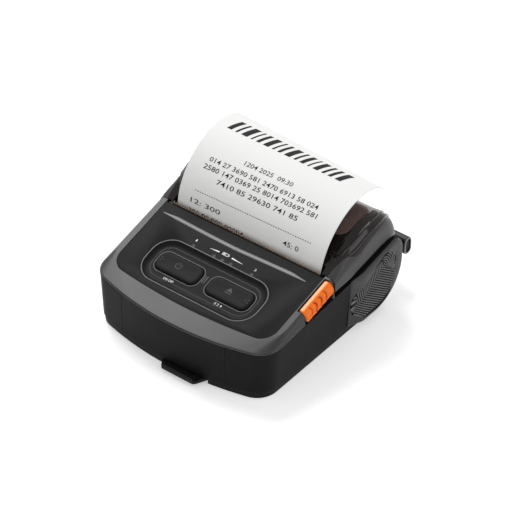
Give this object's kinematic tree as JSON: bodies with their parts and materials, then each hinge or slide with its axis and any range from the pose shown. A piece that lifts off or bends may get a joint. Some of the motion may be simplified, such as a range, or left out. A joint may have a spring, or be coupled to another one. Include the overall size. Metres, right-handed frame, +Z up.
{
  "type": "portable receipt printer",
  "caption": "Portable thermal receipt printer with a sloping two-button panel, smoked roll cover, release lever, belt clip, strap bar and a printed receipt curling back over the cover.",
  "frame": {"origin": "centre of the bounding box at the surface the printer stands on", "axes": "+X across the paper to the right, -Y towards the front with the buttons, +Z up"},
  "size_m": [0.1026, 0.1196, 0.065],
  "materials": {
    "case_black": "fine matte texture",
    "base_black": "matte",
    "bezel_grey": "satin",
    "cover_grey": "satin",
    "cap_grey": "fine matte texture",
    "panel_black": "spark texture",
    "key_black": "matte",
    "lens_smoke": "translucent",
    "smoked_shell": "smoked clear plastic",
    "inner_black": "gloss",
    "lever_orange": "translucent gloss",
    "tear_steel": "stamped",
    "frame_steel": "zinc plated",
    "pin_steel": "ground",
    "spring_steel": "bright",
    "head_ceramic": "glazed",
    "sink_aluminium": "extruded",
    "motor_metal": "plated",
    "gear_plastic": "acetal",
    "pinion_brass": "machined",
    "roller_rubber": "ground rubber",
    "bush_plastic": "matte",
    "paper_white": "coated",
    "core_card": "plain",
    "board_green": "solder mask",
    "chip_black": "moulded",
    "socket_steel": "plated",
    "flap_rubber": "matte",
    "feet_rubber": "matte",
    "cell_blue": "shrink film",
    "contact_brass": "plated",
    "hook_steel": "stamped",
    "bar_black": "matte"
  },
  "bodies": {
    "case": {"lower_case": "case_black", "base_plate": "base_black", "feet": "feet_rubber", "case_screws": "pin_steel", "top_bezel": "bezel_grey", "control_panel": "panel_black", "led_lenses": "lens_smoke", "tear_bar": "tear_steel", "mech_frame": "frame_steel", "print_head": "head_ceramic", "head_heatsink": "sink_aluminium", "head_springs": "spring_steel", "feed_motor": "motor_metal", "idler_pin": "pin_steel", "cover_hinge_pin": "pin_steel", "left_side_cap": "cap_grey", "right_side_cap": "cap_grey", "paper_web": "paper_white", "latch_spring": "spring_steel", "main_board": "board_green", "board_chips": "chip_black", "board_screws": "pin_steel", "tact_switches": "chip_black", "usb_socket": "socket_steel", "power_socket": "chip_black", "buzzer": "chip_black", "battery_contacts": "contact_brass", "clip_pin": "pin_steel", "clip_spring": "spring_steel", "strap_bar": "bar_black", "bar_brackets": "base_black"},
    "cover": {"cover_frame": "cover_grey", "cover_shell": "smoked_shell", "cover_inner": "inner_black", "platen_bushes": "bush_plastic", "receipt": "paper_white"},
    "platen": {"platen_roller": "roller_rubber", "platen_shaft": "pin_steel", "platen_gear": "gear_plastic"},
    "idler": {"idler_gear": "gear_plastic"},
    "pinion": {"motor_pinion": "pinion_brass"},
    "roll": {"paper_roll": "paper_white", "paper_core": "core_card"},
    "latch": {"release_lever": "lever_orange", "latch_shaft": "pin_steel", "latch_hooks": "hook_steel"},
    "power_key": {"power_button": "key_black"},
    "feed_key": {"feed_button": "key_black"},
    "battery": {"battery_pack": "case_black", "battery_cells": "cell_blue"},
    "clip": {"belt_clip": "base_black"},
    "port_flap": {"port_cover": "flap_rubber"}
  },
  "joints": [
    {"name": "cover_open", "type": "hinge", "parent": "case", "child": "cover", "pos_m": [0, 0.0485, 0.028], "axis": [-1, 0, 0], "range_deg": [0, 85]},
    {"name": "roll_spin", "type": "hinge", "parent": "case", "child": "roll", "pos_m": [0, 0.0262, 0.0237], "axis": [1, 0, 0], "continuous": true},
    {"name": "platen_spin", "type": "hinge", "parent": "cover", "child": "platen", "pos_m": [0, 0.00375, 0.0325], "axis": [1, 0, 0], "continuous": true},
    {"name": "idler_spin", "type": "hinge", "parent": "case", "child": "idler", "pos_m": [0, 0.00189, 0.02055], "axis": [1, 0, 0], "continuous": true},
    {"name": "pinion_spin", "type": "hinge", "parent": "case", "child": "pinion", "pos_m": [0, -0.00651, 0.01359], "axis": [1, 0, 0], "continuous": true},
    {"name": "lever_lift", "type": "hinge", "parent": "case", "child": "latch", "pos_m": [0, -0.0191, 0.0286], "axis": [1, 0, 0], "range_deg": [0, 8], "stiffness_Nm_per_rad": 0.1, "springref_deg": -8.59},
    {"name": "power_press", "type": "slide", "parent": "case", "child": "power_key", "axis": [0, 0.2605, -0.9655], "range_m": [0, 0.0008], "stiffness_N_per_m": 400, "springref_m": -0.001},
    {"name": "feed_press", "type": "slide", "parent": "case", "child": "feed_key", "axis": [0, 0.2605, -0.9655], "range_m": [0, 0.0008], "stiffness_N_per_m": 400, "springref_m": -0.001},
    {"name": "battery_slide", "type": "slide", "parent": "case", "child": "battery", "axis": [0, -1, 0], "range_m": [0, 0.05]},
    {"name": "clip_open", "type": "hinge", "parent": "case", "child": "clip", "pos_m": [0, 0.014, 0.00255], "axis": [1, 0, 0], "range_deg": [0, 20], "stiffness_Nm_per_rad": 0.05, "springref_deg": -28.65},
    {"name": "port_cover_open", "type": "hinge", "parent": "case", "child": "port_flap", "pos_m": [-0.04728, -0.0323, 0.01545], "axis": [0, -1, 0], "range_deg": [0, 90]}
  ],
  "couplings": [
    {"joint": "platen_spin", "follows": "roll_spin", "ratio": 4.45},
    {"joint": "idler_spin", "follows": "roll_spin", "ratio": -2.9667},
    {"joint": "pinion_spin", "follows": "roll_spin", "ratio": 5.9333}
  ]
}
